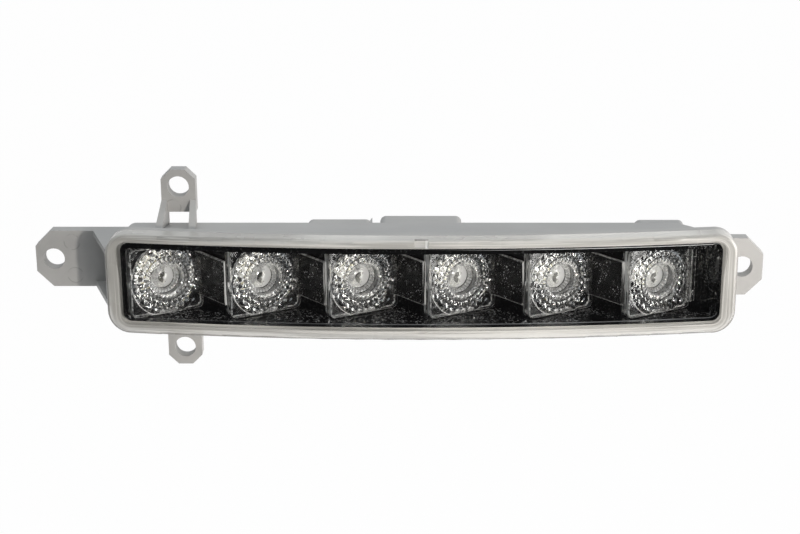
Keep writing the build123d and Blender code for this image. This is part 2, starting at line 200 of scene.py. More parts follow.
housing_light = (0.50, 0.492, 0.478)
housing_dark = (0.44, 0.434, 0.424)
ejector_dark = (0.25, 0.245, 0.24)
ejector_radius = 2.6 * mm
ejector_line = 0.28 * mm
ejector_places = (
    (6.2 * mm, 5.7 * mm),
    (6.7 * mm, -5.7 * mm),
    (40.0 * mm, 17.6 * mm),
    (42.2 * mm, -22.5 * mm),
)

housing_grey, w = new_finish("housing_grey")
x, y, z = w.place().parts()
# The marks are on the front face of the tabs, at y = 0, and are worn away in places.
tab_front = 1.0 - abs(y).ramp(0.2 * mm, 0.6 * mm)
rings = []
for mark_x, mark_z in ejector_places:
    reach = ((x - mark_x) ** 2.0 + (z - mark_z) ** 2.0) ** 0.5
    rings.append(1.0 - (abs(reach - ejector_radius) / ejector_line).ramp(0.35, 1.0))
marks = rings[0]
for ring in rings[1:]:
    marks = marks.most(ring)
marks = marks * tab_front * w.noise(240.0).ramp(0.4, 0.52)
flow = w.noise(38.0, 3.0)
grain = w.noise(5200.0, 1.0)
cloud = w.noise(260.0)
tint = w.between((0.7 * flow + 0.3 * cloud).ramp(0.3, 0.7), housing_dark, housing_light)
w.solid(
    {
        "Base Color": w.between(marks * 0.45, tint, ejector_dark),
        "Roughness": 0.42 + 0.12 * cloud,
        "Normal": w.bump(0.5 * grain + 0.2 * cloud - marks, 0.03 * mm, 0.6),
        "Specular IOR Level": 0.4,
    }
).show()
dress("housing", housing_grey)


# Breather membrane: a round of porous white film that lets the lamp breathe and keeps
# water out. It is pressed into its ring on the back of the housing.
membrane_white, w = new_finish("membrane_white")
fibre = w.noise(9000.0, 4.0)
w.solid(
    {
        "Base Color": w.between(fibre.ramp(0.35, 0.65), (0.62, 0.62, 0.6), (0.84, 0.84, 0.82)),
        "Roughness": 0.8 + 0.15 * fibre,
        "Normal": w.bump(fibre, 0.05 * mm, 0.7),
    }
).show()
dress("breather_membrane", membrane_white)


# Driver board: green glass-fibre board in the rear bay, held by two screws.
# The copper runs show as slightly raised lines under the solder mask.
board_run_turn = 3900.0
board_run_slant = 0.6
board_green, w = new_finish("board_green")
x, y, z = w.place().parts()
run = ((x + board_run_slant * z) * board_run_turn).wave()
weave = w.noise(3000.0)
w.solid(
    {
        "Base Color": w.between(run.ramp(0.55, 0.7), (0.018, 0.12, 0.05), (0.03, 0.19, 0.08)),
        "Roughness": 0.3 + 0.2 * weave,
        "Normal": w.bump(run.ramp(0.5, 0.75) + 0.2 * weave, 0.03 * mm, 0.5),
    }
).show()
dress("driver_board", board_green)


# Chip, diode, choke, resistors and capacitor: soldered to the front of the driver board.
# They are moulded epoxy, pressed ferrite, coated ceramic and a drawn aluminium can.
def moulded(name, dark, light, rough, scale):
    """A pressed or moulded part with a grain of that many cells to the metre."""
    material, w = new_finish(name)
    grain = w.noise(scale, 3.0)
    w.solid(
        {
            "Base Color": w.between(grain.ramp(0.35, 0.65), dark, light),
            "Roughness": rough + 0.15 * grain,
            "Normal": w.bump(grain, 0.03 * mm, 0.5),
        }
    ).show()
    return material


def metal(name, dark, light, rough, stretch):
    """Bare metal with fine lines, by the cells of its grain to the metre in X, Y and Z."""
    material, w = new_finish(name)
    lines = w.drawn(stretch, 3.0)
    w.solid(
        {
            "Base Color": w.between(lines.ramp(0.3, 0.7), dark, light),
            "Roughness": rough + 0.18 * lines,
            "Metallic": 1.0,
            "Normal": w.bump(lines, 0.02 * mm, 0.4),
        }
    ).show()
    return material


chip_black = moulded("chip_black", (0.014, 0.014, 0.015), (0.026, 0.026, 0.028), 0.5, 6000.0)
for part in ("driver_chip", "diode"):
    dress(part, chip_black)
choke_grey = moulded("choke_grey", (0.09, 0.09, 0.094), (0.14, 0.14, 0.146), 0.6, 4000.0)
dress("choke", choke_grey)
resistor_black = moulded("resistor_black", (0.02, 0.02, 0.024), (0.04, 0.04, 0.046), 0.35, 3000.0)
dress("resistors", resistor_black)
can_lines = (600.0, 6000.0, 600.0)
capacitor_can = metal("capacitor_can", (0.62, 0.63, 0.64), (0.78, 0.79, 0.8), 0.22, can_lines)
dress("capacitor", capacitor_can)


# Connector pins: two tin-plated metal blades, stamped from strip and soldered in the
# driver board, that reach through the housing's wall into the connector socket.
pin_lines = (5000.0, 400.0, 5000.0)
pin_tin = metal("pin_tin", (0.6, 0.59, 0.56), (0.76, 0.75, 0.72), 0.25, pin_lines)
dress("connector_pins", pin_tin)


# Screws: zinc-plated steel with hexagon heads, driven into bosses of the housing.
# Two hold the driver board and two the heat sink.
screw_lines = (2500.0, 700.0, 2500.0)
screw_steel = metal("screw_steel", (0.45, 0.45, 0.44), (0.66, 0.66, 0.65), 0.28, screw_lines)
for part in ("board_screws", "heat_sink_screws"):
    dress(part, screw_steel)


# Heat sink: aluminium strip folded into a saw-tooth, so that a flat lies behind each
# light source and takes its heat. It is screwed to bosses of the housing.
sink_lines = (180.0, 180.0, 6500.0)
sink_aluminium = metal("sink_aluminium", (0.66, 0.67, 0.68), (0.8, 0.81, 0.82), 0.3, sink_lines)
dress("heat_sink", sink_aluminium)


# Printed strip: thin flexible circuit that feeds the light sources, with copper runs
# under a white solder mask. It is glued along the heat sink.
strip_run_turn = 2600.0
strip_white, w = new_finish("strip_white")
x, y, z = w.place().parts()
run = (z * strip_run_turn).wave()
dust = w.noise(900.0, 3.0)
w.solid(
    {
        "Base Color": w.between(run.ramp(0.6, 0.75), (0.82, 0.82, 0.8), (0.74, 0.74, 0.71)),
        "Roughness": 0.4 + 0.2 * dust,
        "Normal": w.bump(run.ramp(0.55, 0.8), 0.03 * mm, 0.5),
    }
).show()
dress("flex_circuit", strip_white)


# Light sources: six white ceramic packages, each under a pale yellow phosphor layer.
# They are soldered to the strip, one behind the middle of each optic.
led_count = 6
led_body, w = new_finish("led_body")
grit = w.noise(12000.0)
w.solid(
    {
        "Base Color": w.between(grit.ramp(0.3, 0.7), (0.86, 0.8, 0.56), (0.9, 0.87, 0.7)),
        "Roughness": 0.35 + 0.2 * grit,
        "Normal": w.bump(grit, 0.02 * mm, 0.4),
    }
).show()
for number in range(1, led_count + 1):
    dress(f"led_{number}", led_body)


# Bezel: black tray with polished walls, moulded in one and held behind the lens.
# It keeps the inside dark and leaves a round opening behind each optic. Its level walls
# and its right end wall have a stronger coat, and the pale specks on them are painted glints,
# reflections of the optics painted into the colour.
bezel_dark = (0.006, 0.006, 0.0065)
bezel_glint = (0.9, 0.9, 0.9)
bead_low = 11.6 * mm
bead_high = 11.75 * mm
bead_soft = 0.1 * mm
bead_start = 120.0 * mm
bead_full = 190.0 * mm
end_wall = (200.0 * mm, 210.0 * mm)

bezel_black, w = new_finish("bezel_black")
x, y, z = w.place().parts()
wave = w.noise(45.0, 1.0)
# Painted highlight: a pale line along the bead under the window's top, growing towards the right end.
bead_highlight = z.ramp(bead_low - bead_soft, bead_low) * (1.0 - z.ramp(bead_high, bead_high + bead_soft))
bead_highlight = bead_highlight * x.ramp(bead_start, bead_full)
level = abs(w.add("ShaderNodeNewGeometry", out="True Normal").parts()[2]).ramp(0.6, 0.9)
at_end = x.ramp(*end_wall)
# Painted glints: pale specks, most on the level walls and the right end wall, stand in for
# reflections of the optics.
painted_glint_specks = w.noise(1700.0, 1.0).ramp(0.59, 0.68) * w.noise(110.0, 1.0).ramp(0.4, 0.58)
painted_glint_specks = painted_glint_specks * (0.04 + 0.4 * level).most(0.3 * at_end)
w.solid(
    {
        "Base Color": w.between(bead_highlight.most(painted_glint_specks), bezel_dark, bezel_glint),
        "Roughness": 0.03 + 0.04 * wave,
        "Normal": w.bump(wave, 0.06 * mm, 0.4),
        "Specular IOR Level": 0.1,
        "Coat Weight": 0.4 * level.most(2.0 * at_end),
        "Coat Roughness": 0.02,
    }
).show()
dress("bezel", bezel_black)


# Collimator bar: one clear acrylic moulding of six square optics joined by webs.
# Each optic has a dome in a stepped well, rings of pillow facets round it, and a cone
# behind that gathers the light of its source. The bar lies in the bezel's tray.
tile_count = led_count
tile_pitch = 31.75 * mm
tile_tilt = math.radians(30.0)
tile_half_width = 12.3 * mm
tile_half_height = 11.4 * mm
tile_corner = 1.8 * mm
tile_thickness = 4.3 * mm
first_tile = (39.625 * mm, -17.358 * mm, -1.54 * mm)
edge_bevel = 0.35 * mm
ring_radius = 7.5 * mm
ring_depth = 0.9 * mm
ring_swell = 0.8
well_radius = 5.3 * mm
well_depth = 2.7 * mm
well_steps = 4
step_line = 0.25 * mm
dome_radius = 3.7 * mm
dome_depth = 4.0 * mm
dome_rise = 1.3 * mm
dome_steps = 8
# The dome's etch and glint lean to its right, a painted highlight there; on the crescent steps its
# left side turns to painted shade.
dome_glint = 0.45
dome_frost_and_highlight = 1.19
dome_lean = 0.5
crescent_steps = (2, 3, 4)
crescent_lean = 1.6
cone_radius = 10.9 * mm
cone_end_radius = 4.2 * mm
cone_depth = 14.2 * mm
cone_bulge = 0.9 * mm
cone_steps = 9
pocket_radius = 2.7 * mm
pocket_depth = 3.2 * mm
pillow_end = 12.0 * mm
pillow_rings = 2
pillows_round = 28
pillow_height = 0.5 * mm
pillow_fade = 0.7 * mm
pillow_wander = 0.7
pillow_wander_scale = 420.0
steps_in_pillow = 6


def section_row(radius, height, swell=0, glint=0, frost_and_painted_light=0, lean=0, side=0):
    """One point of an optic's half section, and the looks of the faces on the way to it.

    Swell, glint and frost are shares; frost is a white etched finish. Lean is how far glint and
    frost lean to one side, and side is the angle of that side: frost that leans paints that
    side lighter, a painted highlight. A frost below zero is a dark line of painted shade, and
    one of 2 is a drawn flank of painted streaks. A lean over 1 turns the far side dark, as
    painted shade."""
    return (radius, height, swell, glint, frost_and_painted_light, lean, side)


def optic_front():
    """Half section of an optic's front from the dome's middle to the end of its pillows."""
    right, low_right, low_left = math.radians(-10), math.radians(-40), math.radians(215)
    rows = []
    arc = (dome_radius**2 + dome_rise**2) / (2 * dome_rise)
    # Dome: etched whitest on its right, a painted highlight, with a crescent of painted shade on its
    # left.
    for step in range(dome_steps + 1):
        r = dome_radius * step / dome_steps
        height = dome_rise - dome_depth - arc + math.sqrt(arc**2 - r**2)
        lean = crescent_lean if step in crescent_steps else dome_lean
        rows.append(section_row(r, height, glint=dome_glint, frost_and_painted_light=dome_frost_and_highlight, lean=lean, side=right))
    slope = (dome_depth - well_depth) / (well_radius - dome_radius)
    foot = slope * step_line - dome_depth
    # Dark lines round the dome's foot and the well's steps are painted shade, leaning to the lower
    # right.
    rows.append(section_row(dome_radius + step_line, foot, frost_and_painted_light=-0.8, lean=1, side=low_right))
    for step in range(1, well_steps + 1):
        r = dome_radius + step_line + step * (well_radius - dome_radius - 2 * step_line) / well_steps
        height = slope * (r - dome_radius) - dome_depth
        rows.append(section_row(r, height, swell=ring_swell, glint=ring_swell, frost_and_painted_light=0.45))
    rows.append(section_row(well_radius, -well_depth, frost_and_painted_light=-0.8, lean=1, side=low_right))
    rows.append(section_row(well_radius, -ring_depth, frost_and_painted_light=0.35))
    rows.append(section_row(well_radius + step_line, -ring_depth, frost_and_painted_light=-0.6, lean=1, side=low_right))
    ring_width = ring_radius - well_radius - 2 * step_line
    for step in range(1, steps_in_pillow + 1):
        r = well_radius + step_line + step * ring_width / steps_in_pillow
        # A dark line of painted shade runs round the middle of the ring.
        if step == steps_in_pillow // 2:
            looks = {"frost_and_painted_light": -0.7, "lean": 1, "side": low_right}
        else:
            looks = {"glint": 1, "frost_and_painted_light": 0.25}
        rows.append(section_row(r, -ring_depth, swell=ring_swell, **looks))
    # Painted shade: a dark line at the ring's outer step.
    rows.append(section_row(ring_radius, -ring_depth, frost_and_painted_light=-0.8, lean=1, side=low_right))
    rows.append(section_row(ring_radius, 0, frost_and_painted_light=0.2))
    count = pillow_rings * steps_in_pillow
    for step in range(1, count + 1):
        r = ring_radius + step * (pillow_end - ring_radius) / count
        rows.append(section_row(r, 0, swell=1, glint=1))
    # Painted highlight: a pale outline at the end of the pillows, at the lower left.
    rows.append(section_row(pillow_end + step_line, 0, frost_and_painted_light=0.9, lean=1, side=low_left))
    return np.array(rows)


def optic_edge():
    """The optic's bevelled edge, with how far inside its outline in place of a radius."""
    back = -tile_thickness
    left, low = math.pi, math.radians(-90)
    # The bevels are painted lighter at the bottom, a painted highlight, and the flank is drawn only
    # on the left, in streaks of painted highlight and shade.
    return np.array(
        [
            section_row(edge_bevel, 0),
            section_row(0, -edge_bevel, frost_and_painted_light=0.65, lean=0.4, side=low),
            section_row(0, back + edge_bevel, frost_and_painted_light=2.0, lean=1, side=left),
            section_row(edge_bevel, back, frost_and_painted_light=0.5, lean=0.7, side=low),
        ]
    )


def optic_back():
    """Half section of the optic's back from its plate along the cone to the source pocket."""
    rows = []
    middle = (cone_radius + cone_end_radius) / 2 + 2 * cone_bulge
    for step in range(cone_steps + 1):
        t = step / cone_steps
        r = (1 - t) ** 2 * cone_radius + 2 * t * (1 - t) * middle + t**2 * cone_end_radius
        rows.append(section_row(r, -tile_thickness - t * (cone_depth - tile_thickness)))
    rows.append(section_row(pocket_radius, -cone_depth))
    rows.append(section_row(pocket_radius, pocket_depth - cone_depth))
    rows.append(section_row(0, pocket_depth - cone_depth))
    return np.array(rows)


def edge_reach(angle):
    """Distance from an optic's middle to its outline with round corners in one direction."""
    c, s = abs(math.cos(angle)), abs(math.sin(angle))
    reach = min(tile_half_width / max(c, 1e-9), tile_half_height / max(s, 1e-9))
    middle = (tile_half_width - tile_corner, tile_half_height - tile_corner)
    if reach * c <= middle[0] or reach * s <= middle[1]:
        return reach
    along = c * middle[0] + s * middle[1]
    return along + math.sqrt(along**2 - middle[0] ** 2 - middle[1] ** 2 + tile_corner**2)


def optic_mesh():
    """One optic in its own plane, X along its width, Y up and Z out of its face."""
    front, edge, back = optic_front(), optic_edge(), optic_back()
    profile = np.concatenate([front, edge, back])
    round_count = pillows_round * steps_in_pillow
    angles = 2 * math.pi * np.arange(round_count) / round_count
    reach = np.array([edge_reach(angle) for angle in angles])
    r = np.minimum(profile[:, 0][:, None], reach[None, :] - edge_bevel)
    on_edge = slice(len(front), len(front) + len(edge))
    r[on_edge] = reach[None, :] - edge[:, 0][:, None]
    heights = np.repeat(profile[:, 1][:, None], round_count, 1)
    points = np.stack([r * np.cos(angles), r * np.sin(angles), heights], -1)
    faces = []
    for ring in range(len(profile) - 1):
        near, far = ring * round_count, (ring + 1) * round_count
        for j in range(round_count):
            k = (j + 1) % round_count
            faces.append((near + j, far + j, far + k, near + k))
    mesh = bpy.data.meshes.new("optic")
    mesh.from_pydata(points.reshape(-1, 3).tolist(), [], faces)
    swell, glint, frost_and_painted_light, lean, side = (column[:, None] for column in profile[:, 2:].T)
    fade = np.clip((reach[None, :] - edge_bevel - r) / pillow_fade, 0, 1)
    leaning = 1 - lean + lean * np.clip(0.2 + 1.2 * np.cos(angles[None, :] - side), 0, 1)
    face_looks = {"glint": glint * fade * np.maximum(leaning, 0), "frost_and_painted_light": frost_and_painted_light * leaning}
    for name, value in face_looks.items():
        share = mesh.attributes.new(name, "FLOAT", "FACE")
        share.data.foreach_set("value", value[1:].reshape(-1).astype(np.float32))
    share = mesh.attributes.new("swell", "FLOAT", "POINT")
    share.data.foreach_set("value", (swell * fade).reshape(-1).astype(np.float32))
    work = bmesh.new()
    work.from_mesh(mesh)
    bmesh.ops.remove_doubles(work, verts=work.verts, dist=0.002 * mm)
    bmesh.ops.dissolve_degenerate(work, edges=work.edges, dist=0.001 * mm)
    bmesh.ops.recalc_face_normals(work, faces=work.faces)
    work.to_mesh(mesh)
    work.free()
    return mesh


# The webs' faces are painted dark, a painted shade; their ends are drawn as a flank in streaks of
# painted highlight and shade, and their edges are etched pale.
web_face_shade = -0.5
web_edge_frost = 0.85
web_end_painted_flank = 2.0
strip_edge_frost = 0.3


def row_tree(material):
    """Geometry Nodes: pillows pressed into the optic, then the row of optics and webs.

    Returns the tree and the identifier of each named input."""
    tree = bpy.data.node_groups.new("optic_row", "GeometryNodeTree")
    inputs = {}
    for name, kind in (
        ("Geometry", "Geometry"),
        ("Optics", "Int"),
        ("Pitch", "Float"),
        ("Tilt", "Float"),
        ("First place", "Vector"),
        ("Pillow start", "Float"),
        ("Pillow pitch", "Float"),
        ("Pillow height", "Float"),
        ("Pillows round", "Float"),
        ("Wander", "Float"),
        ("Wander scale", "Float"),
        ("Groove shade", "Float"),
        ("Web length", "Float"),
        ("Web height", "Float"),
        ("Web thickness", "Float"),
        ("Web edge", "Float"),
        ("Web end", "Float"),
        ("Web turn", "Float"),
        ("Web offset", "Vector"),
        ("Strip size", "Vector"),
        ("Strip place", "Vector"),
    ):
        socket = tree.interface.new_socket(name, in_out="INPUT", socket_type="NodeSocket" + kind)
        inputs[name] = socket.identifier
    tree.interface.new_socket("Geometry", in_out="OUTPUT", socket_type="NodeSocketGeometry")
    group = tree.nodes.new("NodeGroupInput")
    given = {socket.name: Wire(tree, socket) for socket in group.outputs if socket.name}
    w = Wire(tree)

    def marked(geometry, name, value):
        """Stores a share on each face under that name."""
        settings = {"data_type": "FLOAT", "domain": "FACE"}
        sockets = {"Geometry": geometry, "Name": name, "Value": value}
        return w.add("GeometryNodeStoreNamedAttribute", settings, sockets)

    def bar(width, height, start, end):
        """A straight bar with round edges and closed ends, of that section."""
        sockets = {"Width": width, "Height": height}
        section = w.add("GeometryNodeCurvePrimitiveQuadrilateral", {}, sockets)
        sockets = {"Curve": section, "Count": 3, "Radius": given["Web edge"]}
        section = w.add("GeometryNodeFilletCurve", {"mode": "POLY"}, sockets)
        path = w.add("GeometryNodeCurvePrimitiveLine", {}, {"Start": start, "End": end})
        sockets = {"Curve": path, "Profile Curve": section, "Fill Caps": True}
        return w.add("GeometryNodeCurveToMesh", {}, sockets)

    def row_of(piece, count, start, turn):
        """Copies of a piece along the lamp, one pitch apart."""
        sockets = {"Count": count, "Start Location": start, "Offset": w.vector(X=given["Pitch"])}
        line = w.add("GeometryNodeMeshLine", {"mode": "OFFSET"}, sockets)
        sockets = {"Points": line, "Instance": piece, "Rotation": turn}
        return w.add("GeometryNodeInstanceOnPoints", {}, sockets)

    # Each pillow is a cell of a ring and a turn, both moved a little by noise, and by less
    # near the middle. The small shift keeps a ring's own edge in it, and the large one
    # keeps every turn above zero.
    ring_shift, turn_shift = 1e-4, 40.0
    x, y, z = w.add("GeometryNodeInputPosition").parts()
    reach = (x * x + y * y) ** 0.5
    sockets = {"Scale": given["Wander scale"], "Detail": 0.0}
    wander = w.add("ShaderNodeTexNoise", {}, sockets, out="Color").parts()
    ring = (reach - given["Pillow start"]) / given["Pillow pitch"]
    loose = given["Wander"] * (0.3 + 0.7 * ring.ramp(0.0, 1.0))
    ring = ring + loose * (wander[0] - 0.5) + ring_shift
    ring_number, across = w.math("FLOOR", ring), w.math("FRACT", ring)
    turn = w.math("ARCTAN2", y, x) * given["Pillows round"] / (2 * math.pi) + 0.5 * ring_number
    turn = turn + loose * (wander[1] - 0.5) + turn_shift
    turn_number, along = w.math("FLOOR", turn), w.math("FRACT", turn)
    cell = w.vector(X=ring_number, Y=turn_number)
    chance = w.add("ShaderNodeTexWhiteNoise", {"noise_dimensions": "3D"}, {"Vector": cell})
    steep = 0.9 + 0.1 * x / reach.most(1e-6)
    swell = 16.0 * across * (1.0 - across) * along * (1.0 - along) * (0.6 + 0.8 * chance) * steep
    share = w.add("GeometryNodeInputNamedAttribute", {"data_type": "FLOAT"}, {"Name": "swell"})
    # Painted shade: a dark groove along one edge of each pillow.
    groove_shade = share * (1.0 - along.ramp(0.6 * given["Groove shade"], 1.2 * given["Groove shade"]))
    optic = marked(given["Geometry"], "gleam", chance.most(1.0 - share))
    optic = marked(optic, "groove_shade", groove_shade)
    lift = w.vector(Z=swell * share * given["Pillow height"])
    optic = w.add("GeometryNodeSetPosition", {}, {"Geometry": optic, "Offset": lift})
    facing = w.vector(X=math.pi / 2, Z=given["Tilt"])
    optics = row_of(optic, given["Optics"], given["First place"], facing)

    start = w.vector(X=-0.5 * given["Web length"])
    end = w.vector(X=0.5 * given["Web length"] + given["Web end"])
    web = bar(given["Web thickness"], given["Web height"], start, end)
    ahead, aside, up = w.add("GeometryNodeInputNormal").parts()
    on_edge, on_end = abs(up).above(0.3), ahead.above(0.3)
    pale = (web_edge_frost - web_face_shade) * on_edge + (web_end_painted_flank - web_face_shade) * on_end
    web = marked(web, "frost_and_painted_light", pale + web_face_shade)
    places = {0: given["First place"], 1: given["Web offset"]}
    start = w.add("ShaderNodeVectorMath", {"operation": "ADD"}, places)
    webs = row_of(web, given["Optics"] - 1.0, start, w.vector(Z=given["Web turn"]))

    wide, thick, tall = given["Strip size"].parts()
    strip = bar(wide, thick, w.vector(Z=-0.5 * tall), w.vector(Z=0.5 * tall))
    aside, ahead, up = w.add("GeometryNodeInputNormal").parts()
    strip = marked(strip, "frost_and_painted_light", strip_edge_frost * abs(aside * ahead).above(0.1))
    turned = w.vector(Z=given["Tilt"])
    sockets = {"Geometry": strip, "Translation": given["Strip place"], "Rotation": turned}
    strip = w.add("GeometryNodeTransform", {}, sockets)

    both = tree.nodes.new("GeometryNodeJoinGeometry")
    for piece in (strip, webs, optics):
        tree.links.new(piece.socket, both.inputs[0])
    whole = w.add("GeometryNodeRealizeInstances", {}, {"Geometry": Wire(tree, both.outputs[0])})
    done = w.add("GeometryNodeSetMaterial", {}, {"Geometry": whole, "Material": material})
    out = tree.nodes.new("NodeGroupOutput")
    tree.links.new(done.socket, out.inputs[0])
    return tree, inputs


def grown(mesh, tree, inputs, values, name):
    """The mesh that a tree makes, as a new piece at the origin."""
    seed = bpy.data.objects.new(name + "_seed", mesh)
    bpy.context.scene.collection.objects.link(seed)
    modifier = seed.modifiers.new("nodes", "NODES")
    modifier.node_group = tree
    for key, value in values.items():
        modifier[inputs[key]] = value
    deps = bpy.context.evaluated_depsgraph_get()
    made = bpy.data.meshes.new_from_object(seed.evaluated_get(deps))
    seed.modifiers.remove(modifier)
    bpy.data.objects.remove(seed)
    piece = bpy.data.objects.new(name, made)
    bpy.context.scene.collection.objects.link(piece)
    return piece


# Clear optic: frost is a white etched finish, whitest where it is near 1, as on the right of each
# dome, a painted highlight. Frost below zero and the grooves are dark lines of painted shade with
# pale specks of painted glint, and the flanks are drawn in painted streaks.
clear_optic, w = new_finish("clear_optic")
frost_and_painted_light, polish, gleam, groove_shade = (
    w.add("ShaderNodeAttribute", {"attribute_name": name}, out="Fac")
    for name in ("frost_and_painted_light", "glint", "gleam", "groove_shade")
)
haze = w.noise(2500.0)
grit = w.noise(1300.0, 3.0)
flank = frost_and_painted_light.ramp(1.2, 1.8)
full = frost_and_painted_light.ramp(0.75, 1.0) * (1.0 - flank)
clear = w.solid(
    {
        "Base Color": w.between(haze.ramp(0.4, 0.6), (0.95, 0.955, 0.96), (1.0, 1.0, 1.0)),
        "Roughness": 0.0,
        "IOR": 1.49,
        "Transmission Weight": 1.0,
    }
)
etched_share = haze.ramp(0.35, 0.65).most(full)
etched = w.solid(
    {
        "Base Color": w.between(etched_share, (0.64, 0.64, 0.635), (0.98, 0.98, 0.975)),
        "Roughness": 0.35 + 0.3 * haze,
    }
)
glint = w.solid(
    {
        "Base Color": (0.95, 0.95, 0.95, 1.0),
        "Metallic": 1.0,
        "Roughness": 0.04 + 0.1 * haze + 0.06 * gleam.ramp(0.97, 1.0),
    }
)
lines = w.drawn((1300.0, 1300.0, 60.0), 2.0)
# Flanks: streaks of painted reflection, pale and dark, drawn up the clear sides.
side = w.solid(
    {
        "Base Color": w.between(lines.ramp(0.45, 0.62), (0.02, 0.02, 0.02), (0.75, 0.75, 0.74)),
        "Roughness": 0.15 + 0.3 * haze,
    }
)
# Painted glints: pale specks on the dark lines.
painted_glint_specks = w.noise(1900.0, 1.0).ramp(0.66, 0.71) * w.noise(230.0, 1.0).ramp(0.44, 0.56)
line = w.solid(
    {
        "Base Color": w.between(painted_glint_specks, (0.012, 0.012, 0.012), (1.0, 1.0, 1.0)),
        "Roughness": 0.3 + 0.3 * haze,
        "Specular IOR Level": 0.2,
    }
)
cloudy = frost_and_painted_light.most(0.0) * (1.0 - flank) * (0.25 + 0.9 * grit.ramp(0.36, 0.6)).most(full)
# Painted shade: dark lines and grooves, with the painted glint specks on them.
dark = (-frost_and_painted_light).most(0.65 * groove_shade).most(0.9 * painted_glint_specks * (-2.0 * frost_and_painted_light).least(1.0))
front = w.layer(cloudy, clear, etched)
front = w.layer(polish * (0.02 + 0.42 * gleam), front, glint)
front = w.layer(flank * (0.35 + 0.6 * lines.ramp(0.3, 0.6)), front, side)
front = w.layer(dark, front, line)
passing = w.add("ShaderNodeBsdfTransparent", {}, {"Color": (0.88, 0.88, 0.88, 1.0)})
w.layer(w.add("ShaderNodeLightPath", out="Is Shadow Ray"), front, passing).show()

# The webs run from the back of one optic's right edge to the next one's left edge.
web_height = 14.7 * mm
web_thickness = 1.3 * mm
web_edge = 0.45 * mm
web_bite = 1.0 * mm
web_end = 0.3 * mm
web_depth = tile_thickness - 0.4 * mm
tilt_cos, tilt_sin = math.cos(tile_tilt), math.sin(tile_tilt)
web_run = (tile_pitch - 2 * tile_half_width * tilt_cos, -2 * tile_half_width * tilt_sin)
web_start = (
    tile_half_width * tilt_cos - web_depth * tilt_sin,
    tile_half_width * tilt_sin + web_depth * tilt_cos,
)
web_length = math.hypot(*web_run)
web_across = (web_run[1] / web_length, -web_run[0] / web_length)
web_middle = [web_start[i] + web_run[i] / 2 + web_across[i] * web_thickness / 2 for i in range(2)]

# A strip closes the free edge of the last optic.
strip_half = 1.9 * mm
last_x = first_tile[0] + (tile_count - 1) * tile_pitch
strip_place = (
    last_x + tile_half_width * tilt_cos - tile_thickness / 2 * tilt_sin,
    first_tile[1] + tile_half_width * tilt_sin + tile_thickness / 2 * tilt_cos,
    first_tile[2],
)

tree, inputs = row_tree(clear_optic)
optic_bar = grown(
    optic_mesh(),
    tree,
    inputs,
    {
        "Optics": tile_count,
        "Pitch": tile_pitch,
        "Tilt": tile_tilt,
        "First place": first_tile,
        "Pillow start": ring_radius,
        "Pillow pitch": (pillow_end - ring_radius) / pillow_rings,
        "Pillow height": pillow_height,
        "Pillows round": float(pillows_round),
        "Wander": pillow_wander,
        "Wander scale": pillow_wander_scale,
        "Groove shade": 1.0 / steps_in_pillow,
        "Web length": web_length + web_bite,
        "Web height": web_height,
        "Web thickness": web_thickness,
        "Web edge": web_edge,
        "Web end": web_end,
        "Web turn": math.atan2(web_run[1], web_run[0]),
        "Web offset": (*web_middle, 0.0),
        "Strip size": (2 * strip_half, tile_thickness, 2 * (tile_half_height - tile_corner)),
        "Strip place": strip_place,
    },
    "optic_bar",
)
optic_bar.data.shade_smooth()
optic_bar.data.set_sharp_from_angle(angle=math.radians(28.0))
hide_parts("collimator_bar")
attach(optic_bar, "root")


# Outer lens: clear polycarbonate cover, moulded, curved along the bumper and hard coated.
# Its thick foot is welded to the housing's flange, and the rim over it looks pale.
lens_middle = (121.4 * mm, -33.752 * mm)
lens_radius = 660.0 * mm
lens_wall = 2.5 * mm
lens_half = (100.0 * mm, 16.5 * mm)
lens_corner = 7.2 * mm
lens_edge = 1.0 * mm
lens_mirror = 0.06
foot_depth = 6.0 * mm
window_half = (95.25 * mm, 12.95 * mm)
window_corner = 2.7 * mm
rim_step = 1.0 * mm
gate_half = 2.2 * mm
gate_depth = 0.9 * mm
gate_soft = 0.1 * mm
rim_dark, rim_light = (0.47, 0.459, 0.434), (0.89, 0.873, 0.834)
painted_edge_shade = (0.2, 0.19, 0.175)
gate_highlight = (0.95, 0.95, 0.94)


def beyond(x, z, half, corner):
    """Distance outside a rounded rectangle of that half size, negative inside it."""
    across = abs(x - lens_middle[0]) - (half[0] - corner)
    up = abs(z) - (half[1] - corner)
    outside = (across.most(0.0) ** 2.0 + up.most(0.0) ** 2.0) ** 0.5
    return outside + across.most(up).least(0.0) - corner


clear_lens, w = new_finish("clear_lens")
x, y, z = w.place().parts()
inside = w.add("ShaderNodeNewGeometry", out="Backfacing")
facing_up = w.add("ShaderNodeNewGeometry", out="True Normal").parts()[2]

# Depth is how far behind the curved outer face a point lies, and reach is how far it lies
# outside the window.
from_gate = x - lens_middle[0]
depth = lens_radius - (from_gate**2.0 + (lens_radius + lens_middle[1] - y) ** 2.0) ** 0.5
reach = beyond(x, z, window_half, window_corner)
share = x / (2 * lens_middle[0])
foot = depth.ramp(foot_depth - 0.1 * mm, foot_depth - 0.05 * mm)
wall = depth.ramp(lens_wall + 0.1 * mm, lens_wall + 0.2 * mm) * (1.0 - foot)
wall = wall * (1.0 - reach.ramp(0.06 * mm, 0.12 * mm))
rim = (reach - rim_step * z.ramp(0.0, window_half[1])).ramp(0.05 * mm, 0.3 * mm)
# Painted shade: a dark line round the outer edge of the front, except along the top.
edge = beyond(x, z, lens_half, lens_corner).ramp(-lens_edge, -0.6 * lens_edge)
edge = edge * (1.0 - depth.ramp(1.2 * mm, 1.8 * mm))
edge = edge * (1.0 - z.ramp(0.5 * lens_half[1], 0.8 * lens_half[1]))

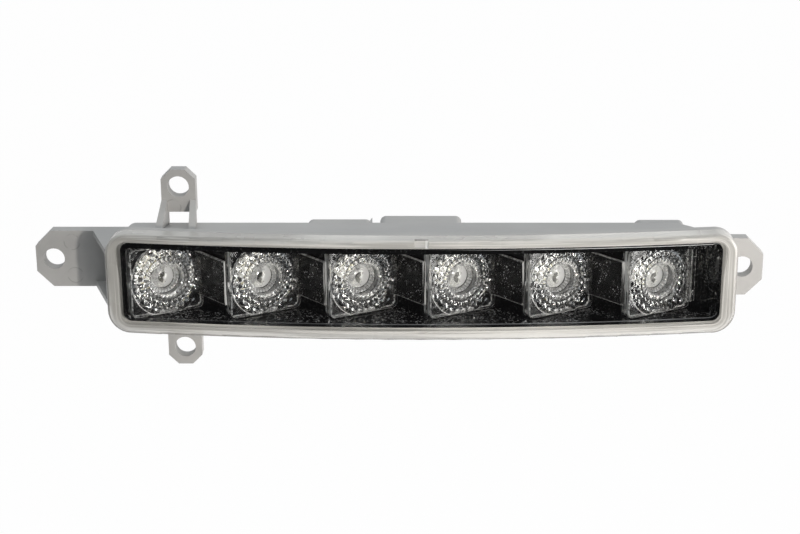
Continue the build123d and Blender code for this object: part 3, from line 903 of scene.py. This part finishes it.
# The gate is a small notch in the middle of the top rim. The dark lip behind it is painted shade, and
# the notch is painted light, brightest at its right side.
gate = 1.0 - abs(from_gate).ramp(gate_half - gate_soft, gate_half)
gate = gate * depth.ramp(gate_depth - gate_soft, gate_depth)
lip_shade = gate * z.ramp(lens_half[1] - 0.15 * mm, lens_half[1] - 0.05 * mm)
edge = edge.most(lip_shade * (1.0 - depth.ramp(2.4 * mm, 2.6 * mm)))
notch_highlight = gate * z.ramp(window_half[1], window_half[1] + gate_soft)
notch_highlight = notch_highlight * (1.0 - depth.ramp(1.3 * gate_depth, 1.5 * gate_depth))
notch_highlight = notch_highlight * (0.45 + 0.55 * from_gate.ramp(gate_half - 1.1 * mm, gate_half - 0.9 * mm))

# Streaks run along the rim. Light and shade are painted into its tone: it is paler towards the right,
# darker at its right end and lower right, and at its left end lighter below and darker above.
streaks = w.noise(1.0, 2.0, w.vector(X=22.0 * x, Y=1500.0 * reach, Z=22.0 * z))
waver = w.noise(90.0)
upper = z.ramp(-5.0 * mm, 5.0 * mm)
along = 0.6 * share.ramp(0.05, 0.6) - 0.45 * share.ramp(0.85, 0.93)
along = along - 0.35 * (1.0 - upper) * share.ramp(0.55, 0.75)
along = along + (0.12 - 0.25 * upper) * (1.0 - share.ramp(0.2, 0.5))
tint = w.between(0.9 * streaks.ramp(0.38, 0.62) + along - 0.35, rim_dark, rim_light)
pale = w.solid(
    {
        "Base Color": w.between(edge, w.between(notch_highlight, tint, gate_highlight), painted_edge_shade),
        "Roughness": 0.16 + 0.2 * waver,
        "Normal": w.bump(streaks, 0.2 * mm, 0.5),
        "Coat Weight": 0.4,
    }
)
# Painted highlight: a pale line on the lower inner wall near the foot, growing towards the right.
ledge_highlight = depth.ramp(foot_depth - 1.0 * mm, foot_depth - 0.7 * mm) * facing_up.ramp(0.3, 0.6)
ledge_highlight = ledge_highlight * share.ramp(0.1, 0.6)
# Painted shade: the inner wall, seen from the window, is near black.
painted_wall_shade = w.solid(
    {
        "Base Color": w.between(ledge_highlight, (0.01, 0.01, 0.011), (0.3, 0.3, 0.31)),
        "Roughness": 0.2,
    }
)
clear = w.add("ShaderNodeBsdfTransparent", {}, {"Color": (0.98, 0.985, 0.985, 1.0)})
shine = w.solid({"Base Color": (1.0, 1.0, 1.0, 1.0), "Metallic": 1.0, "Roughness": 0.03})
gloss = w.add("ShaderNodeFresnel", {}, {"IOR": 1.5})
window = w.layer((0.7 * gloss).least(lens_mirror) * (1.0 - inside), clear, shine)
behind = wall * inside * depth.ramp(lens_wall + 0.5 * mm, lens_wall + 0.9 * mm)
rim_share = (0.65 * rim).most(0.95 * foot).most(0.9 * behind).most(0.9 * notch_highlight).most(0.9 * edge)
whole = w.layer(rim_share, window, pale)
w.layer(wall * (1.0 - inside), whole, painted_wall_shade).show()
dress("outer_lens", clear_lens)


# Stage: a plain white floor well below the lamp, which hangs by its tabs as it does in a
# bumper. Soft daylight comes from above, with a small warm lamp from the front right
# and a large soft panel at the right.
floor_drop = 0.30
floor_half = 6.0
floor_front = -0.5
floor_z = cad_box[0].z - floor_drop
sky_low, sky_high = (0.05, 0.051, 0.053), (0.70, 0.74, 0.77)


def seen_white(wire, share):
    """1 for rays from the camera, and a share for those that mirror or pass through a piece."""
    names = ("Is Camera Ray", "Is Glossy Ray", "Is Transmission Ray")
    camera_ray, mirrored, passed = (wire.add("ShaderNodeLightPath", out=name) for name in names)
    return camera_ray.most(mirrored.most(passed) * share)


scene = bpy.context.scene
scene.view_settings.view_transform = "Standard"

floor_mesh = bpy.data.meshes.new("floor")
floor_corners = [
    (-floor_half, floor_front, floor_z),
    (floor_half, floor_front, floor_z),
    (floor_half, floor_half, floor_z),
    (-floor_half, floor_half, floor_z),
]
floor_mesh.from_pydata(floor_corners, [], [(0, 1, 2, 3)])
floor = bpy.data.objects.new("floor", floor_mesh)
scene.collection.objects.link(floor)
floor_white, w = new_finish("floor_white")
paper = w.noise(30.0)
plain = w.solid(
    {
        "Base Color": w.between(paper, (0.84, 0.84, 0.84), (0.88, 0.88, 0.88)),
        "Roughness": 0.9,
    }
)
glow = w.add("ShaderNodeEmission", {}, {"Color": (1.0, 1.0, 1.0, 1.0), "Strength": 1.0})
w.layer(0.98 * seen_white(w, 1.0), plain, glow).show()
floor_mesh.materials.append(floor_white)

world = bpy.data.worlds.new("daylight")
scene.world = world
world.use_nodes = True
world.node_tree.nodes.clear()
w = Wire(world.node_tree)
across, back, up = w.place("Generated").parts()
sky = w.between(up.ramp(0.1, 0.9), sky_low, sky_high)
soft = w.add("ShaderNodeBackground", {}, {"Color": sky, "Strength": 1.0})
white = w.add("ShaderNodeBackground", {}, {"Color": (1.0, 1.0, 1.0, 1.0), "Strength": 1.0})
daylight = w.layer(seen_white(w, back.ramp(0.3, 0.6)), soft, white)
w.add("ShaderNodeOutputWorld", {}, {"Surface": daylight})


def lamp(name, place, size, power, colour):
    """A rectangular lamp that faces the middle of the object."""
    light = bpy.data.lights.new(name, "AREA")
    light.shape = "RECTANGLE"
    light.size, light.size_y = size
    light.energy = power
    light.color = colour
    body = bpy.data.objects.new(name, light)
    scene.collection.objects.link(body)
    body.location = place
    away = body.location - (cad_box[0] + cad_box[1]) / 2
    body.rotation_euler = away.to_track_quat("Z", "Y").to_euler()


lamp("key", (0.42, -0.75, 0.17), (0.03, 0.03), 3.0, (1.0, 0.95, 0.89))
lamp("panel", (0.73, -0.18, -0.03), (0.5, 0.6), 4.2, (1.0, 0.97, 0.94))

picture_width = 800
shift_right = -21.5
shift_up = 24.8
camera_rise = math.radians(19.0)
camera_reach = 0.555
camera = bpy.data.objects.new("camera", bpy.data.cameras.new("camera"))
scene.collection.objects.link(camera)
towards = Vector((0.0, -math.cos(camera_rise), math.sin(camera_rise)))
camera.location = Vector((*lens_middle, 0.0)) + camera_reach * towards
camera.rotation_euler = (math.pi / 2 - camera_rise, 0.0, 0.0)
camera.data.sensor_width = 36.0
camera.data.lens = 79.9
camera.data.shift_x = shift_right / picture_width
camera.data.shift_y = shift_up / picture_width
camera.data.clip_start = 0.01
scene.camera = camera
